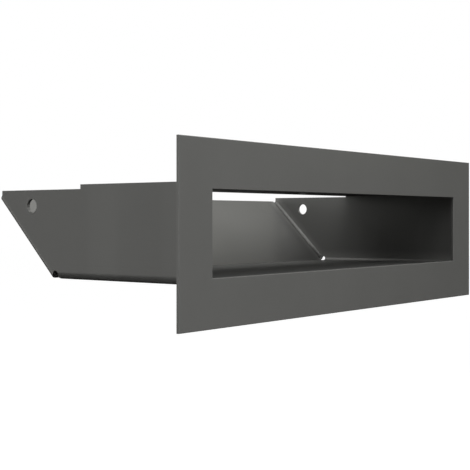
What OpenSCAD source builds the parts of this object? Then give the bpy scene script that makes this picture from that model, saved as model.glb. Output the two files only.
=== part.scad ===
// Wall grille for warm air: a flat face frame with a folded sheet duct behind it.
// X runs across the face, Y runs from the face into the wall, Z is up.
// The origin is the centre of the frame's back face, which lies on the wall.

/* [Face frame] */
// Width of the face frame
face_w = 200; // [140:1:400]
// Height of the face frame
face_h = 60; // [50:1:100]
// Width of the border around the opening
border_w = 16; // [10:0.5:20]
// Thickness of the face plate
face_t = 1.2; // [1:0.1:3]
// Rounding that the coat leaves on the edges of the face plate
edge_r = 0.25; // [0.1:0.05:0.4]

/* [Sheet] */
// Thickness of the duct's sheet
sheet_t = 1.2; // [0.8:0.05:2]
// Inner radius of every bend
bend_r = 1.5; // [1:0.1:2.5]

/* [Duct] */
// How far the duct's inner faces stand back behind the edge of the opening
duct_step = 1.3; // [0.5:0.1:4]
// Depth of the roof, from the frame's back face
roof_depth = 55.6; // [30:0.1:70]
// Depth of the side walls, from the frame's back face
wall_depth = 96.8; // [80:0.1:140]
// How far the rear stretch of each side wall is lower than the roof
rear_drop = 1.6; // [1.2:0.1:4]
// Height of the upright edge at the rear end of each side wall
nib_h = 1.7; // [1:0.1:4]
// Angle of the back panel to the floor
back_angle = 45; // [38:1:55]

/* [Lap joint] */
// Width of the flat flange behind the back panel
flange_w = 12; // [10:0.5:20]
// Cut across the free corners of the flange
flange_chamfer = 3; // [1:0.5:5]
// Gap between the back panel and the flange
lap_gap = 0.1; // [0.05:0.05:0.3]
// How far the back panel stands past the end of the flange
panel_over = 0.2; // [0:0.1:1]
// Number of spot welds on each flange
spot_count = 3; // [2:1:4]
// Diameter of a spot weld's fused core
core_d = 3.2; // [2.5:0.1:4]
// Diameter of the dimple that a spot weld leaves
spot_d = 4.2; // [4:0.1:6]
// Depth of that dimple
spot_depth = 0.25; // [0.1:0.05:0.4]

/* [Holes] */
// Diameter of the fixing hole in each side wall
hole_d = 5; // [3:0.1:8]
// Distance from the fixing hole to the rear edge of the wall
hole_back = 16.3; // [12:0.1:24]
// Distance from the fixing hole to the upper edge of the wall
hole_drop = 5.7; // [5:0.1:8]
// Diameter of the relief hole where three bends meet
relief_d = 2.4; // [1.6:0.1:3]
// Height of the relief hole above the underside of the floor
relief_h = 1.75; // [1.5:0.05:2.2]
// How far the relief hole bites into the lower end of the lap flange's bend
relief_bite = 0.3; // [0.1:0.05:0.5]

/* [Welds] */
// Gap between the roof plate and each side wall
roof_gap = 0.1; // [0.05:0.05:0.3]
// Radius of the weld in the roof's side seams
seam_r = 0.7; // [0.5:0.05:0.9]
// Length of one stitch in the roof's side seams
seam_len = 10; // [6:1:14]
// Distance from either end of the seam to the nearest stitch
seam_inset = 6; // [4:0.5:10]
// Leg of the fillet welds between frame and duct
fillet_leg = 2; // [1.5:0.1:3]
// Length of one fillet stitch along the roof and the floor
long_stitch = 18; // [10:1:24]
// Length of the fillet stitch along each side wall
short_stitch = 10; // [6:1:14]
// Number of fillet stitches along the roof, and along the floor
stitch_count = 3; // [2:1:5]

/* [Hidden] */
$fn = 64;

// The opening, and the duct behind it, which is wider by a step all round
opening_w = face_w - 2 * border_w;
opening_h = face_h - 2 * border_w;
wall_in = opening_w / 2 + duct_step;
wall_out = wall_in + sheet_t;
top_z = opening_h / 2 + duct_step + sheet_t;
floor_z = -top_z;

// Bends: the outer radius, and the centre line of the bends along the side walls
bend_out = bend_r + sheet_t;
bend_x = wall_in - bend_r;
bend_z = floor_z + bend_out;

// The rear end of a side wall, where its slanted bend starts
rear_top_z = top_z - rear_drop;
nib_z = rear_top_z - nib_h;

// The back panel lies on the flange, so its inner face is this far below the slanted bend line
panel_n = lap_gap - bend_r + sheet_t;
// Where the floor ends and its bend into the back panel starts
panel_drop = panel_n + bend_r;
slope_run = (panel_drop + (nib_z - bend_z) * cos(back_angle)) / sin(back_angle);
floor_end = wall_depth - slope_run;
// Flat length of the back panel, from its bend to its upper edge
panel_len = slope_run * cos(back_angle) + (nib_z - bend_z) * sin(back_angle) + panel_over;

// Relief hole, the slanted bend line behind it, and the lower end of the flange
relief_y = floor_end + bend_r * tan(back_angle / 2) / 2;
relief_z = floor_z + relief_h;
relief_line_z = nib_z - (wall_depth - relief_y) * tan(back_angle);
relief_s = (relief_y - wall_depth) * cos(back_angle) + (relief_z - nib_z) * sin(back_angle);
flange_low = relief_s + relief_d / 2 - relief_bite;

// Fixing hole
hole_y = wall_depth - hole_back;
hole_z = rear_top_z - hole_drop;

// Roof plate, and the line of its side seams
roof_half = wall_in - roof_gap;
seam_x = wall_in - roof_gap / 2;

// Round back of a fillet weld: its centre lies this far inside the corner
fillet_in = fillet_leg / 2;
fillet_r = sqrt(pow(fillet_leg + fillet_in, 2) + pow(fillet_in, 2));
// How far its round end reaches along the corner
fillet_end = sqrt(pow(fillet_r, 2) - 2 * pow(fillet_in, 2));

// Reach of cutting shapes past the sheet that they cut
over = 1;
// The back panel's bend is drawn with radii this much larger, so that it runs cleanly into the flats
// beside it, and it starts and ends this many degrees inside those flats
arc_merge = 0.00001;
arc_lap = 5;
// A side wall reaches this far into its slanted bend, so that the two are one
wall_merge = 0.001;

// Draws a flat outline of Y and Z, and makes it this long along X, from the middle out both ways
module across(length) {
    rotate([90, 0, 90])
        linear_extrude(height = length, center = true)
            children();
}

// Draws a flat outline of Y and X, and makes it this high, from the middle up and down
module upright(height) {
    rotate([0, 0, 90])
        linear_extrude(height = height, center = true)
            children();
}

// Draws a flat outline of X and Z, and makes it this long along Y
module backwards(length) {
    translate([0, length, 0])
        rotate([90, 0, 0])
            linear_extrude(height = length)
                children();
}

// Frame of the slanted bend: X across, Y up the slope, Z out of the slope towards the inside
module on_slope() {
    translate([0, wall_depth, nib_z])
        rotate([back_angle, 0, 0])
            children();
}

// Makes a second copy on the left
module both_sides() {
    children();
    mirror([1, 0, 0])
        children();
}

// Part of a ring, or of a disc where the inner radius is 0, drawn around the origin
module ring_sector(r_in, r_out, start, sweep) {
    reach = 2 * r_out;
    middle = start + sweep / 2;
    end = start + sweep;
    intersection() {
        difference() {
            circle(r_out);
            if (r_in > 0)
                circle(r_in);
        }
        polygon([
            [0, 0],
            reach * [cos(start), sin(start)],
            reach * [cos(middle), sin(middle)],
            reach * [cos(end), sin(end)]
        ]);
    }
}

// Rectangle with round corners, centred on the origin
module soft_bar(w, h, r) {
    square([w - 2 * r, h], center = true);
    square([w, h - 2 * r], center = true);
    for (x = [-1, 1], y = [-1, 1])
        translate([x * (w / 2 - r), y * (h / 2 - r)])
            circle(r);
}

// Gap between two border bars, flared where their edges are round
module soft_gap(gap) {
    difference() {
        square([face_t + 2 * over, gap + 2 * border_w], center = true);
        for (side = [-1, 1])
            translate([0, side * (gap + border_w) / 2])
                soft_bar(face_t, border_w, edge_r);
        for (side = [-1, 1])
            translate([0, side * (gap / 2 + edge_r + border_w / 2)])
                square([face_t + 3 * over, border_w], center = true);
    }
}

// Bar along X with round ends, whose centres lie this far from the middle
module capsule(reach, r) {
    size = 2 * (reach + r);
    rotate([0, 90, 0])
        rotate_extrude()
            intersection() {
                union() {
                    square([2 * r, 2 * reach], center = true);
                    for (side = [-1, 1])
                        translate([0, side * reach])
                            circle(r);
                }
                translate([0, -size / 2])
                    square(size);
            }
}

// Flat plate with a rectangular opening and softened edges
module face_frame() {
    color([0.29, 0.29, 0.28])
        translate([0, -face_t / 2, 0])
            difference() {
                intersection() {
                    across(face_w + over)
                        soft_bar(face_t, face_h, edge_r);
                    upright(face_h + over)
                        soft_bar(face_t, face_w, edge_r);
                }
                intersection() {
                    across(opening_w + border_w)
                        soft_gap(opening_h);
                    upright(opening_h + border_w)
                        soft_gap(opening_w);
                }
            }
}

// Area inside one face of floor and back panel, for a face that lies this far from the bend's centre
module strip_area(r, past) {
    translate([-floor_end - past, -r])
        square([floor_end + past, r]);
    rotate(back_angle)
        translate([0, -r])
            square([panel_len + past, r]);
    ring_sector(0, r + arc_merge, -90 - arc_lap, back_angle + 2 * arc_lap);
}

// Floor and back panel, bent from one strip
module floor_strip() {
    across(2 * bend_x)
        translate([floor_end, bend_z])
            difference() {
                strip_area(bend_out, 0);
                strip_area(bend_r, over);
            }
}

// Flat side wall, with its lower rear stretch and the small upright edge above the slanted bend
module side_wall() {
    translate([wall_in + sheet_t / 2, 0, 0])
        across(sheet_t)
            polygon([
                [0, bend_z],
                [0, top_z],
                [roof_depth, top_z],
                [roof_depth, rear_top_z],
                [wall_depth, rear_top_z],
                [wall_depth, nib_z - wall_merge],
                [relief_y, relief_line_z - wall_merge],
                [relief_y, bend_z]
            ]);
}

// Bend between the floor and a side wall
module floor_bend() {
    backwards(relief_y)
        translate([bend_x, bend_z])
            ring_sector(bend_r, bend_out, -90, 90);
}

// Flange that folds in behind the back panel, with its bend
module lap_flange() {
    tip = bend_x - flange_w;
    on_slope() {
        translate([0, flange_low, 0])
            backwards(-flange_low)
                translate([bend_x, 0])
                    ring_sector(bend_r, bend_out, -90, 90);
        translate([0, 0, -bend_out])
            linear_extrude(height = sheet_t)
                polygon([
                    [bend_x, flange_low],
                    [tip + flange_chamfer, flange_low],
                    [tip, flange_low + flange_chamfer],
                    [tip, -flange_chamfer],
                    [tip + flange_chamfer, 0],
                    [bend_x, 0]
                ]);
    }
}

// Places the spot welds along a flange
module at_spots() {
    pitch = -flange_low / spot_count;
    on_slope()
        for (i = [0 : spot_count - 1])
            translate([bend_x - flange_w / 2, flange_low + (i + 0.5) * pitch, 0])
                children();
}

// Fused core of a spot weld, which bridges the gap of the lap joint and bites into both sheets
module spot_core() {
    bite = sheet_t / 4;
    translate([0, 0, -bend_r - bite])
        cylinder(h = lap_gap + 2 * bite, d = core_d);
}

// Shallow dimple on the outside of the flange
module spot_dimple() {
    r = (pow(spot_d / 2, 2) + pow(spot_depth, 2)) / (2 * spot_depth);
    translate([0, 0, -bend_out - r + spot_depth])
        sphere(r);
}

// Relief where the floor bend, the back bend and the slanted bend meet, open downwards
module relief_cut() {
    translate([bend_x, 0, 0])
        rotate([90, 0, 90])
            linear_extrude(height = bend_out + over) {
                translate([relief_y, relief_z])
                    circle(d = relief_d);
                translate([relief_y - relief_d / 2, floor_z - over])
                    square([relief_d, relief_h + over]);
            }
}

// Stitches in the seams between the roof and the side walls, as round grooves or as the welds in them
module seam_stitches() {
    first = seam_inset + seam_len / 2;
    both_sides()
        for (y = [first, roof_depth - first])
            translate([seam_x, y, top_z])
                rotate([0, 0, 90])
                    capsule(seam_len / 2 - seam_r, seam_r);
}

// Folded duct: floor, side walls, back panel and lap flanges from one blank
module duct_shell() {
    color([0.27, 0.27, 0.26])
        difference() {
            union() {
                floor_strip();
                both_sides() {
                    side_wall();
                    floor_bend();
                    lap_flange();
                    at_spots()
                        spot_core();
                }
            }
            both_sides() {
                relief_cut();
                at_spots()
                    spot_dimple();
            }
            translate([0, hole_y, hole_z])
                rotate([0, 90, 0])
                    cylinder(h = 2 * (wall_out + over), d = hole_d, center = true);
            seam_stitches();
        }
}

// Flat roof between the side walls, level with their upper edges
module roof_plate() {
    color([0.24, 0.24, 0.23])
        difference() {
            translate([-roof_half, 0, top_z - sheet_t])
                cube([2 * roof_half, roof_depth, sheet_t]);
            seam_stitches();
        }
}

// Welds in the roof's side seams, ground level with the sheet
module roof_welds() {
    color([0.34, 0.34, 0.33])
        intersection() {
            seam_stitches();
            translate([-face_w / 2, 0, top_z - sheet_t])
                cube([face_w, roof_depth, sheet_t]);
        }
}

// One fillet stitch along X, in the corner between a plate that faces +Y and a wall that faces +Z
module fillet_stitch(length) {
    intersection() {
        translate([0, -fillet_in, -fillet_in])
            capsule(length / 2 - fillet_end, fillet_r);
        translate([-length, 0, 0])
            cube([2 * length, fillet_r, fillet_r]);
    }
}

// Fillet stitches between the frame's back face and the outside of the duct
module frame_welds() {
    span = 2 * bend_x;
    pitch = span / stitch_count;
    color([0.34, 0.34, 0.33]) {
        for (i = [0 : stitch_count - 1])
            translate([(i + 0.5) * pitch - span / 2, 0, 0]) {
                translate([0, 0, top_z])
                    fillet_stitch(long_stitch);
                translate([0, 0, floor_z])
                    mirror([0, 0, 1])
                        fillet_stitch(long_stitch);
            }
        both_sides()
            translate([wall_out, 0, 0])
                rotate([0, 90, 0])
                    fillet_stitch(short_stitch);
    }
}

face_frame();
duct_shell();
roof_plate();
roof_welds();
frame_welds();
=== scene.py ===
"""Finish and studio of a wall grille for warm air, built around its packed sheet-metal parts."""

import math
from collections import namedtuple

import bmesh
import bpy
from bpy.props import FloatProperty, FloatVectorProperty, PointerProperty
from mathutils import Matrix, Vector


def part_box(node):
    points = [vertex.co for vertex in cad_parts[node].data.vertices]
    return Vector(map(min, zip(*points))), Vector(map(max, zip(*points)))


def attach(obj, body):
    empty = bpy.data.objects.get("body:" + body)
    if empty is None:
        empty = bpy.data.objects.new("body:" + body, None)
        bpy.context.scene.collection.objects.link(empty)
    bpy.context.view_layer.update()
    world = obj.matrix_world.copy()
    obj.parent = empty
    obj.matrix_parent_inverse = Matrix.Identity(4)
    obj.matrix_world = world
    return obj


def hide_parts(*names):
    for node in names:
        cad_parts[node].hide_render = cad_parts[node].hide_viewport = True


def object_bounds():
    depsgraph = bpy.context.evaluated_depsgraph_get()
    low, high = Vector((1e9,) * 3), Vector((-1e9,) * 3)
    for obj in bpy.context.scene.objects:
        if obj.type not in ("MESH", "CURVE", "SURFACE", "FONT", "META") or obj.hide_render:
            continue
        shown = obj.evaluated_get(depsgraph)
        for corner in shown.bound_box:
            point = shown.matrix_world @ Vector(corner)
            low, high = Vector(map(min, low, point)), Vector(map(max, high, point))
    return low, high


bl_info = {
    "name": "Warm-air wall grille",
    "version": (1, 0, 0),
    "blender": (4, 5, 0),
    "location": "3D View > Sidebar > Grille",
    "description": "Coats a sheet-metal wall grille, adds its welds, and sets up its studio",
    "category": "Object",
}

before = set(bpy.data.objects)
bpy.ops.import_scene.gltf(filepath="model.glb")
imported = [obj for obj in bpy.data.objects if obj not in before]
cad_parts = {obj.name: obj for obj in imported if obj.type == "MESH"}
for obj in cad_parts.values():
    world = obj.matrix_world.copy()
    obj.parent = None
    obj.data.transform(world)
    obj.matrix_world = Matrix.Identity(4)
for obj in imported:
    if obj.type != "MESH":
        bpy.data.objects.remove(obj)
CAD_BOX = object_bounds()

MM = 0.001

FACE_LOW, FACE_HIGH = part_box("face_frame")
DUCT_LOW, DUCT_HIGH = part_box("duct_shell")
ROOF_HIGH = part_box("roof_plate")[1]
GRILLE_CENTRE = (CAD_BOX[0] + CAD_BOX[1]) / 2

# The sheet, and the inner faces of the side walls and the floor
SHEET = 1.2 * MM
BEND_RADIUS = 1.5 * MM
WALL_INSIDE = DUCT_HIGH.x - SHEET
FLOOR_INSIDE = DUCT_LOW.z + SHEET

# The back panel's slope, and how far back its inner face crosses the duct's axis
BACK_ANGLE = math.radians(45)
BACK_CROSSING = 83.9 * MM

# The corner between the back panel and the right side wall: its upper end, from where it runs down
# and forwards at the back panel's angle, and its length down to the relief hole
CORNER_TOP = Vector((WALL_INSIDE, 96.94 * MM, 13.06 * MM))
CORNER_LENGTH = 38.5 * MM

# The opening, the fixing holes, and the stitches in the roof's side seams
OPENING_HALF = (84 * MM, 14 * MM)
HOLE_PLACE = (80.5 * MM, 9.2 * MM)
HOLE_RADIUS = 2.5 * MM
STITCH_PLACES = (11 * MM, 44.6 * MM)

# Where the coat's marks lie, and how far from there they reach. Where there are two reaches, the
# mark is whole up to the first and gone from the second. A ground patch is squeezed across its seam.
EDGE_REACH = 0.6 * MM
RIM_RADIUS = HOLE_RADIUS + 0.35 * MM
RIM_REACH = 0.4 * MM
PRESS_LINE_HEIGHT = FLOOR_INSIDE + BEND_RADIUS + 2.2 * MM
PRESS_LINE_REACH = 0.35 * MM
# The painted light that makes the duct's inner corners paler reaches this far from them
CORNER_LIGHT_REACH = (1 * MM, 6 * MM)
INNER_FACE_MARGIN = 0.3 * MM
GROUND_REACH = (5 * MM, 9 * MM)
GROUND_SQUEEZE = 1.6

# The coat's patterns: the width of a cloud, run, scratch, lump or wave, the axes along which runs
# and scratches are drawn out, and the spacing and radius of small round spots
CLOUD_SIZE = 28 * MM
RUN_SIZE = 5 * MM
RUN_STRETCH = (1, 1, 0.2)
GROUND_SCRATCH_SIZE = 0.5 * MM
WELD_SCRATCH_SIZE = 0.4 * MM
SCRATCH_STRETCH = (1, 0.06, 1)
LUMP_SIZE = 0.9 * MM
WAVE_SIZE = 3.2 * MM
SPECK_SPACING = 13 * MM
SPECK_RADIUS = 0.286 * MM
SPATTER_SPACING = SPECK_SPACING / 6
SPATTER_RADIUS = SPECK_RADIUS / 6
PIT_SPACING = 2.6 * MM
PIT_RADIUS = 0.312 * MM

# How far a face's normal agrees with a direction that it faces
FACING = 0.9

# The corner seam's bevel, which hollows it, its size at its tips, and its smoothing
SEAM_BEVEL = 0.97
SEAM_BEVEL_SEGMENTS = 12
SEAM_BEVEL_PROFILE = 0.086
SEAM_TIP = 0.25
SEAM_SMOOTHING = math.radians(40)

# The fillet stitches: name, turn about Y in degrees, whether it is long, and its corner's place
LONG_SPACING = 55.87 * MM
STITCHES = (
    ("Top_Left", 0, True, (-LONG_SPACING, 0, DUCT_HIGH.z)),
    ("Top_Middle", 0, True, (0, 0, DUCT_HIGH.z)),
    ("Top_Right", 0, True, (LONG_SPACING, 0, DUCT_HIGH.z)),
    ("Right", 90, False, (DUCT_HIGH.x, 0, 0)),
    ("Bottom_Right", 180, True, (LONG_SPACING, 0, DUCT_LOW.z)),
    ("Bottom_Middle", 180, True, (0, 0, DUCT_LOW.z)),
    ("Bottom_Left", 180, True, (-LONG_SPACING, 0, DUCT_LOW.z)),
    ("Left", -90, False, (DUCT_LOW.x, 0, 0)),
)

# A stitch's bead: the corners of the whole circle whose quarter it is, and its rings in a ripple.
# It grows from its first share to its full size over the length of an end. The part of each ring
# that lies further out than these shares of the leg leads by a share of a ripple, once for each.
STITCH_CIRCLE_CORNERS = 48
STITCH_RINGS_PER_RIPPLE = 5
STITCH_END = 1.2 * MM
STITCH_END_SHARE = 0.6
STITCH_LEAD = 0.15
STITCH_LEADING_FROM = (0.15, 0.45)
STITCH_SMOOTHING = math.radians(50)

# The camera's sensor in mm, and the nearest that it sees
SENSOR_WIDTH = 36
CLIP_START = 0.01

# The sky's light grows from nothing to full between these heights, where 1 is straight up
SKY_DARK_HEIGHT = -0.1
SKY_BRIGHT_HEIGHT = 0.5

# The dark board that keeps stray light off the grille
FLAG_PLACE = GRILLE_CENTRE + Vector((-0.42, 0.05, -0.2))
FLAG_SIZE = 1.1
FLAG_SHADE = 0.03

# Each light panel's name, azimuth (0 is the front, and it goes to the left), elevation and width,
# in degrees as seen from the grille, and its brightness as a share of the studio's
PANEL_DISTANCE = 3
PANELS = (
    ("Panel_Top", -60, 80, 64, 1.04),
    ("Panel_Front", -10, 40, 50, 2.52),
    ("Panel_Left", 90, 36, 44, 1.54),
    ("Panel_Left_Low", 95, 8, 24, 2.29),
    ("Panel_Rear", 178, -8, 56, 2.12),
    ("Panel_Right", -72, 18, 34, 2.0),
    ("Panel_Right_Rear", -110, 40, 44, 1.56),
)


class CoatSettings(bpy.types.PropertyGroup):
    """Powder coat that covers every part"""

    frame_colour: FloatVectorProperty(
        name="Frame colour",
        description="Colour of the coat on the face frame",
        subtype="COLOR",
        min=0,
        max=1,
        default=(0.1000, 0.1000, 0.0960),
    )
    duct_colour: FloatVectorProperty(
        name="Duct colour",
        description="Colour of the coat on the duct and its roof",
        subtype="COLOR",
        min=0,
        max=1,
        default=(0.0980, 0.0980, 0.0940),
    )
    weld_colour: FloatVectorProperty(
        name="Weld colour",
        description="Colour of the coat on the welds",
        subtype="COLOR",
        min=0,
        max=1,
        default=(0.0920, 0.0920, 0.0885),
    )
    roughness: FloatProperty(
        name="Roughness",
        description="Mean roughness of the cured coat",
        subtype="FACTOR",
        min=0,
        max=1,
        default=0.3,
    )
    flake: FloatProperty(
        name="Metal flake",
        description="How metallic the coat looks, from the fine flake in it",
        subtype="FACTOR",
        min=0,
        max=1,
        default=0.4,
    )
    grain_size: FloatProperty(
        name="Grain size",
        description="Width of one bump of the coat's fine texture",
        unit="LENGTH",
        precision=6,
        min=0.0001,
        max=0.002,
        default=0.00045,
    )
    grain_height: FloatProperty(
        name="Grain height",
        description="Height of the coat's fine texture",
        unit="LENGTH",
        precision=7,
        min=0,
        max=0.0001,
        default=0.00001,
    )
    peel_size: FloatProperty(
        name="Orange peel size",
        description="Width of one wave of the coat's skin",
        unit="LENGTH",
        precision=5,
        min=0.0005,
        max=0.01,
        default=0.0024,
    )
    peel_height: FloatProperty(
        name="Orange peel height",
        description="Height of the waves of the coat's skin",
        unit="LENGTH",
        precision=7,
        min=0,
        max=0.0002,
        default=0.000013,
    )


class SeamSettings(bpy.types.PropertyGroup):
    """Smoothed seam in the corner between the back panel and a side wall"""

    width: FloatProperty(
        name="Seam width",
        description="How far the corner seam reaches along the panel and up the wall",
        unit="LENGTH",
        precision=4,
        min=0.0005,
        max=0.005,
        default=0.0014,
    )
    taper: FloatProperty(
        name="Seam taper",
        description="Length over which the seam thins out at either end",
        unit="LENGTH",
        precision=4,
        min=0.0005,
        max=0.005,
        default=0.001,
    )
    sink: FloatProperty(
        name="Seam sink",
        description="How far the seam's flat sides lie inside the coat of the sheets",
        unit="LENGTH",
        precision=6,
        min=0,
        max=0.0001,
        default=0.00003,
    )


class StitchSettings(bpy.types.PropertyGroup):
    """Fillet stitches between the frame and the duct"""

    leg: FloatProperty(
        name="Stitch leg",
        description="How far a fillet stitch reaches along either sheet",
        unit="LENGTH",
        precision=4,
        min=0.001,
        max=0.004,
        default=0.002,
    )
    long: FloatProperty(
        name="Long stitch",
        description="Length of a stitch along the roof or the floor",
        unit="LENGTH",
        precision=4,
        min=0.008,
        max=0.03,
        default=0.018,
    )
    short: FloatProperty(
        name="Short stitch",
        description="Length of the stitch along a side wall",
        unit="LENGTH",
        precision=4,
        min=0.006,
        max=0.02,
        default=0.010,
    )
    ripple: FloatProperty(
        name="Ripple length",
        description="Distance from one ripple of the bead to the next",
        unit="LENGTH",
        precision=4,
        min=0.0006,
        max=0.003,
        default=0.0012,
    )
    ripple_depth: FloatProperty(
        name="Ripple depth",
        description="Depth of the valleys between ripples, as a share of the bead",
        subtype="FACTOR",
        min=0,
        max=0.3,
        default=0.09,
    )


class StudioSettings(bpy.types.PropertyGroup):
    """Camera, light and floor"""

    camera_place: FloatVectorProperty(
        name="Camera place",
        description="Where the camera stands",
        subtype="TRANSLATION",
        unit="LENGTH",
        default=(-0.3346, -0.2061, 0.00486),
    )
    camera_turn: FloatProperty(
        name="Camera turn",
        description="Direction in which the level camera looks, from the wall's normal",
        subtype="ANGLE",
        default=math.radians(-52.83),
    )
    lens: FloatProperty(
        name="Lens",
        description="Focal length for a sensor 36 mm wide",
        unit="CAMERA",
        default=79.22,
    )
    shift_x: FloatProperty(
        name="Shift X",
        description="Sideways shift of the level camera's lens",
        default=-0.0335,
    )
    shift_y: FloatProperty(
        name="Shift Y",
        description="Upward shift of the level camera's lens",
        default=-0.0359,
    )
    sky_light: FloatProperty(
        name="Sky light",
        description="Strength of the even light that comes from above the horizon",
        min=0,
        default=0.5,
    )
    panel_light: FloatProperty(
        name="Panel light",
        description="Brightness that the light panels add to the sky's",
        min=0,
        default=2.0,
    )
    floor_drop: FloatProperty(
        name="Floor drop",
        description="How far the floor lies below the grille",
        unit="LENGTH",
        min=0,
        default=1.2,
    )
    floor_size: FloatProperty(
        name="Floor size",
        description="Length of the square floor's side",
        unit="LENGTH",
        min=1,
        default=60,
    )
    floor_colour: FloatVectorProperty(
        name="Floor colour",
        description="Colour of the floor, as it is seen",
        subtype="COLOR",
        min=0,
        max=1,
        default=(0.42, 0.42, 0.42),
    )
    floor_glow: FloatProperty(
        name="Floor glow",
        description="Brightness added to the floor where it is seen, so that it reads as white",
        min=0,
        max=1,
        default=0.8,
    )
    floor_bounce: FloatProperty(
        name="Floor bounce",
        description="Share of the light that the floor throws back up at the grille",
        subtype="FACTOR",
        min=0,
        max=1,
        default=0.12,
    )


class Value:
    """One output socket. Arithmetic on it adds Math nodes."""

    def __init__(self, board, socket):
        self.board = board
        self.socket = socket

    def output(self, name):
        """Another output of the same node."""
        return Value(self.board, self.socket.node.outputs[name])

    def __add__(self, other):
        return self.board.math("ADD", self, other)

    def __radd__(self, other):
        return self.board.math("ADD", other, self)

    def __sub__(self, other):
        return self.board.math("SUBTRACT", self, other)

    def __rsub__(self, other):
        return self.board.math("SUBTRACT", other, self)

    def __mul__(self, other):
        return self.board.math("MULTIPLY", self, other)

    def __rmul__(self, other):
        return self.board.math("MULTIPLY", other, self)

    def __abs__(self):
        return self.board.math("ABSOLUTE", self)


class Board:
    """The nodes of one material, or of the world."""

    def __init__(self, tree):
        tree.nodes.clear()
        self.tree = tree

    def node(self, kind, settings=None, inputs=None):
        """Adds a node, sets its settings and then its sockets, and gives its first output."""
        made = self.tree.nodes.new(kind)
        for name, setting in (settings or {}).items():
            setattr(made, name, setting)
        for name, given in (inputs or {}).items():
            socket = self.find(made.inputs, name)
            if isinstance(given, Value):
                self.tree.links.new(given.socket, socket)
            else:
                socket.default_value = given
        shown = [socket for socket in made.outputs if socket.enabled]
        return Value(self, shown[0]) if shown else None

    def find(self, sockets, name):
        """A node's socket by its number or name. Of several with one name, the one in use."""
        if isinstance(name, int):
            return sockets[name]
        return next(socket for socket in sockets if socket.name == name and socket.enabled)

    def math(self, operation, *values):
        """A Math node."""
        return self.node("ShaderNodeMath", {"operation": operation}, dict(enumerate(values)))

    def ramp(self, value, low, high, to_low=0.0, to_high=1.0):
        """Turns smoothly from to_low to to_high while the value goes from low to high."""
        return self.node(
            "ShaderNodeMapRange",
            {"interpolation_type": "SMOOTHSTEP"},
            {
                "Value": value,
                "From Min": low,
                "From Max": high,
                "To Min": to_low,
                "To Max": to_high,
            },
        )

    def fade(self, value, low, high):
        """1 while the value is under low, and smoothly down to 0 at high."""
        return self.ramp(value, low, high, 1.0, 0.0)

    def stretched(self, place, factors):
        """A place whose axes are multiplied by these factors, which stretches a pattern on it."""
        return self.node(
            "ShaderNodeVectorMath", {"operation": "MULTIPLY"}, {0: place, 1: tuple(factors)}
        )

    def noise(self, place, size, detail):
        """Noise around 0, whose lumps are this wide."""
        noise = self.node(
            "ShaderNodeTexNoise", {}, {"Vector": place, "Scale": 1 / size, "Detail": detail}
        )
        return noise - 0.5

    def spots(self, place, spacing, radius):
        """1 at the middle of round spots strewn about this far apart, and 0 outside them."""
        from_middle = self.node("ShaderNodeTexVoronoi", {}, {"Vector": place, "Scale": 1 / spacing})
        return self.fade(from_middle, 0.0, radius / spacing)

    def split(self, place):
        """The X, Y and Z of a place."""
        parts = self.node("ShaderNodeSeparateXYZ", {}, {"Vector": place})
        return parts, parts.output("Y"), parts.output("Z")

    def lowest(self, first, *others):
        """The lowest of some values."""
        for other in others:
            first = self.math("MINIMUM", first, other)
        return first

    def highest(self, first, *others):
        """The highest of some values."""
        for other in others:
            first = self.math("MAXIMUM", first, other)
        return first

    def length(self, across, up):
        """The length of the slanted side over two square ones."""
        return self.math("SQRT", across * across + up * up)

    def line(self, value, centre, half_width):
        """1 on a line where the value is at the centre, and 0 beside it."""
        return self.fade(abs(value - centre), 0.0, half_width)

    def tinted(self, colour, tone):
        """A colour, made this many times as bright."""
        return self.node(
            "ShaderNodeVectorMath", {"operation": "SCALE"}, {"Vector": tuple(colour), "Scale": tone}
        )


def new_board(name):
    """A new material, and the board of its nodes."""
    material = bpy.data.materials.new(name)
    material.use_nodes = True
    return material, Board(material.node_tree)


def grey(shade):
    """A grey of this brightness."""
    return (shade, shade, shade, 1)


# A mark of a part's coat: its pattern, and the height, the tone and the roughness that the coat
# gains where the pattern is 1.
Mark = namedtuple("Mark", "pattern height tone roughness", defaults=(0.0, 0.0, 0.0))


def added(start, marks, quality):
    """The height, tone or roughness of a coat, from its start, with what each mark adds."""
    for mark in marks:
        gain = getattr(mark, quality)
        if gain:
            start = start + mark.pattern * gain
    return start


def dust_specks(board, place, tone=0.0):
    """Small pimples over specks of dust that were caught in the coat."""
    return Mark(board.spots(place, SPECK_SPACING, SPECK_RADIUS), height=0.006 * MM, tone=tone)


def thin_edge(board, inwards):
    """A paler edge, where the coat thins. Inwards is the distance from the edge."""
    return Mark(board.fade(inwards, 0.0, EDGE_REACH), tone=0.07, roughness=0.05)


def scratches(board, place, width, detail):
    """Fine scratches from front to back."""
    return board.noise(board.stretched(place, SCRATCH_STRETCH), width, detail)


def ground_marks(board, place):
    """Where the stitches in the roof's side seams were ground level, under the coat."""
    x, y, _ = board.split(place)
    from_seam = abs(abs(x) - WALL_INSIDE) * GROUND_SQUEEZE
    from_stitches = [board.length(from_seam, y - stitch) for stitch in STITCH_PLACES]
    patches = board.fade(board.lowest(*from_stitches), *GROUND_REACH)
    scratched = scratches(board, place, GROUND_SCRATCH_SIZE, detail=1) * patches
    return Mark(patches, tone=0.03, roughness=0.05), Mark(scratched, height=0.012 * MM)


def corner_painted_light_and_roughness(board, x, y, z):
    """1 close to the duct's inner corners, on its inner faces only.

    Painted light: the coat is made paler there, because those corners are lighter than the studio's
    light makes them.
    """
    from_wall = WALL_INSIDE - abs(x)
    above_floor = z - FLOOR_INSIDE
    above_back = z - y + BACK_CROSSING
    inwards = board.lowest(above_floor, above_back, from_wall)
    inside = board.ramp(inwards, -INNER_FACE_MARGIN, 0.0)
    from_corner = board.highest(from_wall, board.lowest(above_floor, abs(above_back)))
    return board.fade(from_corner, *CORNER_LIGHT_REACH) * inside


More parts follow.
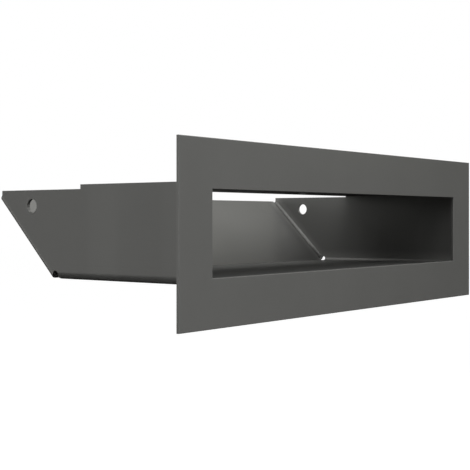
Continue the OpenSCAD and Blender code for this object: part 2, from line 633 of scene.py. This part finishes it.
def frame_marks(board, place):
    """Face frame: the coat is paler where it thins over the plate's edges."""
    x, _, z = board.split(place)
    border = board.highest(abs(x) - OPENING_HALF[0], abs(z) - OPENING_HALF[1])
    inwards = board.lowest(FACE_HIGH.x - abs(x), FACE_HIGH.z - abs(z), border)
    return thin_edge(board, inwards), dust_specks(board, place, tone=-0.02)


def duct_marks(board, place):
    """Duct: a thick rim round each hole, press lines along the bends, runs, and painted light that
    makes the inner corners paler.
    """
    x, y, z = board.split(place)
    from_hole = board.length(y - HOLE_PLACE[0], z - HOLE_PLACE[1])
    rim = board.line(from_hole, RIM_RADIUS, RIM_REACH)
    outside = board.ramp(abs(x), WALL_INSIDE, DUCT_HIGH.x)
    press_line = board.line(z, PRESS_LINE_HEIGHT, PRESS_LINE_REACH) * outside
    runs = board.noise(board.stretched(place, RUN_STRETCH), RUN_SIZE, detail=1) * outside
    return (
        Mark(rim, height=0.03 * MM, tone=0.06, roughness=-0.05),
        Mark(press_line, height=-0.004 * MM, tone=-0.012, roughness=0.03),
        Mark(runs, height=0.006 * MM),
        # Painted light makes the inner corners paler; the coat there is also a little rougher
        Mark(corner_painted_light_and_roughness(board, x, y, z), tone=0.45, roughness=0.03),
        dust_specks(board, place),
        *ground_marks(board, place),
    )


def roof_marks(board, place):
    """Roof plate: ground patches at its seams, and a coat that thins over its rear edge."""
    _, y, _ = board.split(place)
    return (
        thin_edge(board, ROOF_HIGH.y - y),
        dust_specks(board, place),
        *ground_marks(board, place),
    )


def seam_weld_marks(board, place):
    """Stitches in the roof's seams: ground level, rougher, with scratches and a few pits."""
    scratched = scratches(board, place, WELD_SCRATCH_SIZE, detail=2)
    pits = board.spots(place, PIT_SPACING, PIT_RADIUS)
    return (
        Mark(1.0, roughness=0.08),
        Mark(scratched, height=0.02 * MM),
        Mark(pits, height=-0.06 * MM, tone=-0.15, roughness=0.1),
    )


def fillet_weld_marks(board, place):
    """Fillet stitches: uneven, rougher metal under the coat, and a few spatters."""
    lumps = board.noise(place, LUMP_SIZE, detail=2)
    spatter = board.spots(place, SPATTER_SPACING, SPATTER_RADIUS)
    return (
        Mark(1.0, roughness=0.06),
        Mark(lumps, height=0.05 * MM, tone=0.12, roughness=-0.1),
        Mark(spatter, height=0.05 * MM),
    )


def corner_seam_marks(board, place):
    """Corner seams: smoothed by hand, so faint waves run along them."""
    waves = board.noise(place, WAVE_SIZE, detail=1)
    return (Mark(waves, height=0.05 * MM, tone=0.05, roughness=0.08),)


def coat_material(name, colour, coat, own_marks):
    """Satin powder coat: fine grain, orange peel and faint clouds, and the part's own marks."""
    material, board = new_board(name)
    place = board.node("ShaderNodeTexCoord").output("Object")
    grain = board.noise(place, coat.grain_size, detail=2)
    peel = board.noise(place, coat.peel_size, detail=1)
    clouds = board.noise(place, CLOUD_SIZE, detail=3)
    marks = (
        Mark(grain, height=coat.grain_height, tone=0.06, roughness=0.04),
        Mark(peel, height=coat.peel_height),
        Mark(clouds, tone=0.10, roughness=0.05),
        *own_marks(board, place),
    )
    height = added(0.0, marks, "height")
    surface = board.node(
        "ShaderNodeBsdfPrincipled",
        {},
        {
            "Base Color": board.tinted(colour, added(1.0, marks, "tone")),
            "Roughness": added(coat.roughness, marks, "roughness"),
            "Metallic": coat.flake,
            "Specular IOR Level": 0.0,
            "Specular Tint": grey(0.0),
            "Normal": board.node("ShaderNodeBump", {}, {"Height": height, "Distance": 1.0}),
        },
    )
    board.node("ShaderNodeOutputMaterial", {}, {"Surface": surface})
    return material


def dress(node_name, material):
    """Gives a CAD node its material."""
    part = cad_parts[node_name]
    if not part.material_slots:
        part.data.materials.append(None)
    for slot in part.material_slots:
        slot.material = material


def pick(piece, kind, wanted):
    """In edit mode, selects vertices, edges or faces for which wanted(centre, element) is true."""
    bpy.ops.mesh.select_all(action="DESELECT")
    bpy.ops.mesh.select_mode(type=kind)
    mesh = bmesh.from_edit_mesh(piece.data)
    for element in {"VERT": mesh.verts, "EDGE": mesh.edges, "FACE": mesh.faces}[kind]:
        corners = [element.co] if kind == "VERT" else [corner.co for corner in element.verts]
        if wanted(sum(corners, Vector()) / len(corners), element):
            element.select_set(True)
    bmesh.update_edit_mesh(piece.data)


def face_outwards(piece):
    """In edit mode, turns all faces of a closed piece outwards."""
    bpy.ops.mesh.select_all(action="SELECT")
    bpy.ops.mesh.normals_make_consistent(inside=False)
    if bmesh.from_edit_mesh(piece.data).calc_volume(signed=True) < 0:
        bpy.ops.mesh.flip_normals()


def own_copy(piece, name):
    """A copy with its own mesh, which is then the one selected."""
    bpy.ops.object.select_all(action="DESELECT")
    piece.select_set(True)
    bpy.context.view_layer.objects.active = piece
    bpy.ops.object.duplicate(linked=False)
    copy = bpy.context.object
    copy.name = name
    return copy


def add_corner_seam(seam):
    """The right corner's seam: a hollow bead with tapered ends, along the back panel's edge."""
    along = Vector((0, math.cos(BACK_ANGLE), math.sin(BACK_ANGLE)))
    out = Vector((0, -math.sin(BACK_ANGLE), math.cos(BACK_ANGLE)))
    across = (out - Vector((1, 0, 0))) * seam.width
    length = CORNER_LENGTH - 2 * seam.taper
    corner = CORNER_TOP - along * CORNER_LENGTH / 2 + Vector((seam.sink, 0, 0)) - out * seam.sink
    bpy.ops.object.select_all(action="DESELECT")
    bpy.ops.mesh.primitive_cube_add(
        size=1,
        location=corner + across / 2,
        rotation=(BACK_ANGLE, 0, 0),
        scale=(seam.width, length, seam.width),
    )
    piece = bpy.context.object
    piece.name = "Corner_Seam_Right"
    bpy.ops.object.transform_apply(location=True, rotation=True, scale=True)
    bpy.ops.object.mode_set(mode="EDIT")
    free_edge = corner + across
    pick(piece, "EDGE", lambda middle, edge: (middle - free_edge).length < seam.width / 4)
    bpy.ops.mesh.bevel(
        offset=seam.width * SEAM_BEVEL,
        segments=SEAM_BEVEL_SEGMENTS,
        profile=SEAM_BEVEL_PROFILE,
        affect="EDGES",
    )
    for side in (1, -1):
        end = along * side
        pick(piece, "FACE", lambda middle, face: face.normal.dot(end) > FACING)
        bpy.ops.mesh.extrude_region_move(TRANSFORM_OT_translate={"value": end * seam.taper})
        tip = corner + end * (length / 2 + seam.taper)
        bpy.ops.transform.resize(value=(SEAM_TIP, SEAM_TIP, SEAM_TIP), center_override=tip)
    face_outwards(piece)
    bpy.ops.object.mode_set(mode="OBJECT")
    bpy.ops.object.shade_smooth_by_angle(angle=SEAM_SMOOTHING)
    return piece


def mirror_copy(piece, name):
    """A copy with its own mesh, mirrored to the other side."""
    copy = own_copy(piece, name)
    copy.scale.x = -1
    bpy.ops.object.transform_apply(location=True, rotation=True, scale=True)
    bpy.ops.object.mode_set(mode="EDIT")
    face_outwards(copy)
    bpy.ops.object.mode_set(mode="OBJECT")
    return copy


def turned_copy(piece, name, turn, place):
    """A copy with its own mesh, turned about the Y axis and moved to its place."""
    copy = own_copy(piece, name)
    copy.rotation_euler = (0, math.radians(turn), 0)
    copy.location = place
    bpy.ops.object.transform_apply(location=True, rotation=True, scale=True)
    return copy


def bead_size(place, length, stitch):
    """The share of its full size that a bead has at this distance from its start."""
    from_end = min(place, length - place, STITCH_END) / STITCH_END
    ends = max(STITCH_END_SHARE, math.sqrt(1 - (1 - from_end) ** 2))
    ripples = abs(math.sin(math.pi * place / stitch.ripple))
    return ends * (1 - stitch.ripple_depth * (1 - ripples))


def add_stitch(name, length, stitch):
    """A fillet stitch whose corner lies on the X axis: a quarter disc, extruded ring by ring."""
    lead = STITCH_LEAD * stitch.ripple
    bpy.ops.object.select_all(action="DESELECT")
    bpy.ops.mesh.primitive_circle_add(
        vertices=STITCH_CIRCLE_CORNERS,
        radius=stitch.leg,
        fill_type="NGON",
        location=(-length / 2 - lead, 0, 0),
        rotation=(0, math.radians(90), 0),
    )
    piece = bpy.context.object
    piece.name = name
    bpy.ops.object.transform_apply(location=True, rotation=True, scale=True)
    bpy.ops.object.mode_set(mode="EDIT")
    for kept_side in ((0, 1, 0), (0, 0, 1)):
        bpy.ops.mesh.select_all(action="SELECT")
        bpy.ops.mesh.bisect(plane_co=(0, 0, 0), plane_no=kept_side, clear_inner=True)
    for share in STITCH_LEADING_FROM:
        inner = stitch.leg * share
        pick(piece, "VERT", lambda place, vertex: place.y > inner and place.z > inner)
        bpy.ops.transform.translate(value=(lead, 0, 0))
    bpy.ops.mesh.select_mode(type="FACE")
    bpy.ops.mesh.select_all(action="SELECT")
    rings = round(length / stitch.ripple * STITCH_RINGS_PER_RIPPLE)
    size = bead_size(0, length, stitch)
    bpy.ops.transform.resize(value=(1, size, size), center_override=(0, 0, 0))
    for ring in range(1, rings + 1):
        grown = bead_size(length * ring / rings, length, stitch) / size
        size = size * grown
        bpy.ops.mesh.extrude_region_move(TRANSFORM_OT_translate={"value": (length / rings, 0, 0)})
        bpy.ops.transform.resize(value=(1, grown, grown), center_override=(0, 0, 0))
    face_outwards(piece)
    bpy.ops.object.mode_set(mode="OBJECT")
    bpy.ops.object.shade_smooth_by_angle(angle=STITCH_SMOOTHING)
    return piece


class GRILLE_OT_face_frame(bpy.types.Operator):
    """Coats the face frame"""

    bl_idname = "grille.face_frame"
    bl_label = "Face frame"

    def execute(self, context):
        coat = context.scene.grille_coat
        dress("face_frame", coat_material("Frame_Coat", coat.frame_colour, coat, frame_marks))
        return {"FINISHED"}


class GRILLE_OT_duct(bpy.types.Operator):
    """Coats the folded duct and its roof plate"""

    bl_idname = "grille.duct"
    bl_label = "Duct and roof"

    def execute(self, context):
        coat = context.scene.grille_coat
        dress("duct_shell", coat_material("Duct_Coat", coat.duct_colour, coat, duct_marks))
        dress("roof_plate", coat_material("Roof_Coat", coat.duct_colour, coat, roof_marks))
        return {"FINISHED"}


class GRILLE_OT_roof_welds(bpy.types.Operator):
    """Coats the ground stitches in the roof's seams"""

    bl_idname = "grille.roof_welds"
    bl_label = "Roof welds"

    def execute(self, context):
        coat = context.scene.grille_coat
        dress("roof_welds", coat_material("Seam_Coat", coat.weld_colour, coat, seam_weld_marks))
        return {"FINISHED"}


class GRILLE_OT_fillet_stitches(bpy.types.Operator):
    """Models the rippled fillet stitches between the frame and the duct"""

    bl_idname = "grille.fillet_stitches"
    bl_label = "Fillet stitches"

    def execute(self, context):
        coat = context.scene.grille_coat
        stitch = context.scene.grille_stitch
        material = coat_material("Fillet_Coat", coat.weld_colour, coat, fillet_weld_marks)
        long = add_stitch("Long_Stitch", stitch.long, stitch)
        short = add_stitch("Short_Stitch", stitch.short, stitch)
        for name, turn, is_long, place in STITCHES:
            piece = turned_copy(long if is_long else short, "Fillet_Stitch_" + name, turn, place)
            piece.data.materials.append(material)
            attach(piece, "root")
            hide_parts("frame_welds")
        for pattern in (long, short):
            bpy.data.objects.remove(pattern)
        return {"FINISHED"}


class GRILLE_OT_corner_seams(bpy.types.Operator):
    """Adds the smoothed seams between the back panel and the side walls"""

    bl_idname = "grille.corner_seams"
    bl_label = "Corner seams"

    def execute(self, context):
        coat = context.scene.grille_coat
        right = add_corner_seam(context.scene.grille_seam)
        left = mirror_copy(right, "Corner_Seam_Left")
        material = coat_material("Corner_Seam_Coat", coat.duct_colour, coat, corner_seam_marks)
        for piece in (right, left):
            piece.data.materials.append(material)
            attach(piece, "root")
        return {"FINISHED"}


def seen_directly(board):
    """1 for rays that show the surroundings: from the camera, off gloss or through glass."""
    path = board.node("ShaderNodeLightPath")
    rays = ("Is Camera Ray", "Is Glossy Ray", "Is Transmission Ray")
    return board.highest(*(path.output(ray) for ray in rays))


def add_sky(scene, studio):
    """White wherever it is seen, with an even light from above the horizon."""
    world = bpy.data.worlds.new("Studio_Sky")
    world.use_nodes = True
    scene.world = world
    board = Board(world.node_tree)
    place = board.node("ShaderNodeTexCoord").output("Generated")
    _, _, height = board.split(place)
    light = board.ramp(height, SKY_DARK_HEIGHT, SKY_BRIGHT_HEIGHT, 0.0, studio.sky_light)
    seen = seen_directly(board)
    strength = seen + (1 - seen) * light
    sky = board.node("ShaderNodeBackground", {}, {"Color": grey(1.0), "Strength": strength})
    board.node("ShaderNodeOutputWorld", {}, {"Surface": sky})


def add_panel(scene, name, azimuth, elevation, width, brightness):
    """A round light panel that looks at the grille."""
    turn, rise, half_width = (math.radians(angle) for angle in (azimuth, elevation, width / 2))
    radius = PANEL_DISTANCE * math.tan(half_width)
    area = math.pi * radius**2
    lamp = bpy.data.lights.new(name, "AREA")
    lamp.shape = "DISK"
    lamp.size = 2 * radius
    lamp.energy = brightness * math.pi * area
    level = math.cos(rise)
    out = Vector((-math.sin(turn) * level, -math.cos(turn) * level, math.sin(rise)))
    panel = bpy.data.objects.new(name, lamp)
    panel.location = GRILLE_CENTRE + out * PANEL_DISTANCE
    panel.rotation_euler = out.to_track_quat("Z", "Y").to_euler()
    panel.visible_camera = False
    scene.collection.objects.link(panel)


def add_flag():
    """A dark board below the grille, which only keeps stray light off it and shows in no view."""
    bpy.ops.object.select_all(action="DESELECT")
    bpy.ops.mesh.primitive_plane_add(size=FLAG_SIZE, location=FLAG_PLACE)
    flag = bpy.context.object
    flag.name = "Flag_Below"
    flag.visible_camera = False
    flag.visible_shadow = False
    material, board = new_board("Flag_Below_Cloth")
    surface = board.node("ShaderNodeBsdfDiffuse", {}, {"Color": grey(FLAG_SHADE)})
    board.node("ShaderNodeOutputMaterial", {}, {"Surface": surface})
    flag.data.materials.append(material)


def add_floor(studio):
    """A plain pale floor far below the grille, which keeps the grille's shadow."""
    bpy.ops.object.select_all(action="DESELECT")
    bpy.ops.mesh.primitive_plane_add(
        size=studio.floor_size, location=(0, 0, FACE_LOW.z - studio.floor_drop)
    )
    floor = bpy.context.object
    floor.name = "Studio_Floor"
    material, board = new_board("Floor_Paper")
    seen = seen_directly(board)
    colour = board.node(
        "ShaderNodeMix",
        {"data_type": "RGBA"},
        {"Factor": seen, "A": grey(studio.floor_bounce), "B": (*studio.floor_colour, 1)},
    )
    lit = board.node("ShaderNodeBsdfDiffuse", {}, {"Color": colour})
    glow = board.node("ShaderNodeEmission", {}, {"Strength": seen * studio.floor_glow})
    surface = board.node("ShaderNodeAddShader", {}, {0: lit, 1: glow})
    board.node("ShaderNodeOutputMaterial", {}, {"Surface": surface})
    floor.data.materials.append(material)


def add_camera(scene, studio):
    """The level camera, at the photograph's viewing angle."""
    data = bpy.data.cameras.new("Camera")
    data.sensor_width = SENSOR_WIDTH
    data.lens = studio.lens
    data.shift_x = studio.shift_x
    data.shift_y = studio.shift_y
    data.clip_start = CLIP_START
    camera = bpy.data.objects.new("Camera", data)
    camera.location = studio.camera_place
    camera.rotation_euler = (math.radians(90), 0, studio.camera_turn)
    scene.collection.objects.link(camera)
    scene.camera = camera


class GRILLE_OT_stage(bpy.types.Operator):
    """Adds the camera, the light and the floor"""

    bl_idname = "grille.stage"
    bl_label = "Studio"

    def execute(self, context):
        studio = context.scene.grille_studio
        add_camera(context.scene, studio)
        add_sky(context.scene, studio)
        for name, azimuth, elevation, width, share in PANELS:
            add_panel(context.scene, name, azimuth, elevation, width, share * studio.panel_light)
        add_flag()
        add_floor(studio)
        context.scene.view_settings.view_transform = "Standard"
        return {"FINISHED"}


class GRILLE_PT_panel(bpy.types.Panel):
    """Lists the steps that finish the grille"""

    bl_idname = "GRILLE_PT_panel"
    bl_label = "Wall grille"
    bl_space_type = "VIEW_3D"
    bl_region_type = "UI"
    bl_category = "Grille"

    def draw(self, context):
        scene = context.scene
        groups = (scene.grille_coat, scene.grille_seam, scene.grille_stitch, scene.grille_studio)
        for settings in groups:
            box = self.layout.box()
            for name in settings.__annotations__:
                box.prop(settings, name)
        for step in STEPS:
            self.layout.operator(step.bl_idname)


STEPS = (
    GRILLE_OT_face_frame,
    GRILLE_OT_duct,
    GRILLE_OT_roof_welds,
    GRILLE_OT_fillet_stitches,
    GRILLE_OT_corner_seams,
    GRILLE_OT_stage,
)
CLASSES = (CoatSettings, SeamSettings, StitchSettings, StudioSettings, *STEPS, GRILLE_PT_panel)


def register():
    for each in CLASSES:
        bpy.utils.register_class(each)
    bpy.types.Scene.grille_coat = PointerProperty(type=CoatSettings)
    bpy.types.Scene.grille_seam = PointerProperty(type=SeamSettings)
    bpy.types.Scene.grille_stitch = PointerProperty(type=StitchSettings)
    bpy.types.Scene.grille_studio = PointerProperty(type=StudioSettings)


def unregister():
    del bpy.types.Scene.grille_studio
    del bpy.types.Scene.grille_stitch
    del bpy.types.Scene.grille_seam
    del bpy.types.Scene.grille_coat
    for each in reversed(CLASSES):
        bpy.utils.unregister_class(each)


def main():
    register()
    bpy.ops.grille.face_frame()
    bpy.ops.grille.duct()
    bpy.ops.grille.roof_welds()
    bpy.ops.grille.fillet_stitches()
    bpy.ops.grille.corner_seams()
    bpy.ops.grille.stage()


if __name__ == "__main__":
    main()
